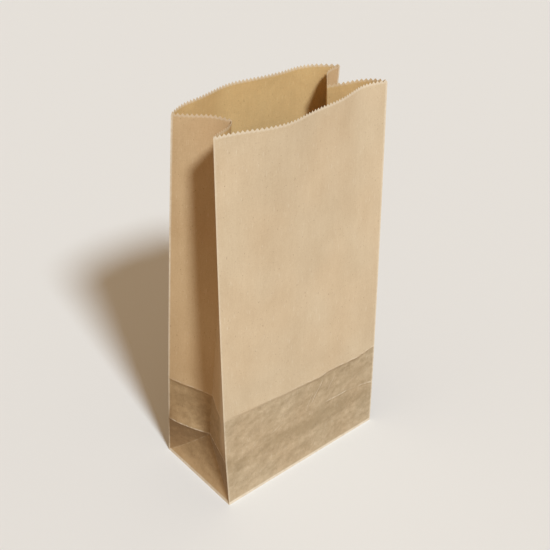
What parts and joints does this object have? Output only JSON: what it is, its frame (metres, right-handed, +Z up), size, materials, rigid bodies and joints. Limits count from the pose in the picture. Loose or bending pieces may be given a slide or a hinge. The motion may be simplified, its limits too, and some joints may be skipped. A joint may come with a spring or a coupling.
{
  "type": "paper bag",
  "caption": "Plain kraft paper bag with a block bottom, folded-in gussets and a toothed mouth, opened and standing on its base.",
  "frame": {"origin": "centre of the base, on the surface that the bag stands on", "axes": "+Z up to the mouth; +X across the wide front panel, to the right as seen from the front; +Y from the front panel to the back panel"},
  "size_m": [0.15, 0.0781, 0.296],
  "materials": {
    "kraft_paper": "matte unbleached kraft paper with fine fibre specks"
  },
  "bodies": {
    "root": {"paper_bag": "kraft_paper"}
  },
  "joints": []
}
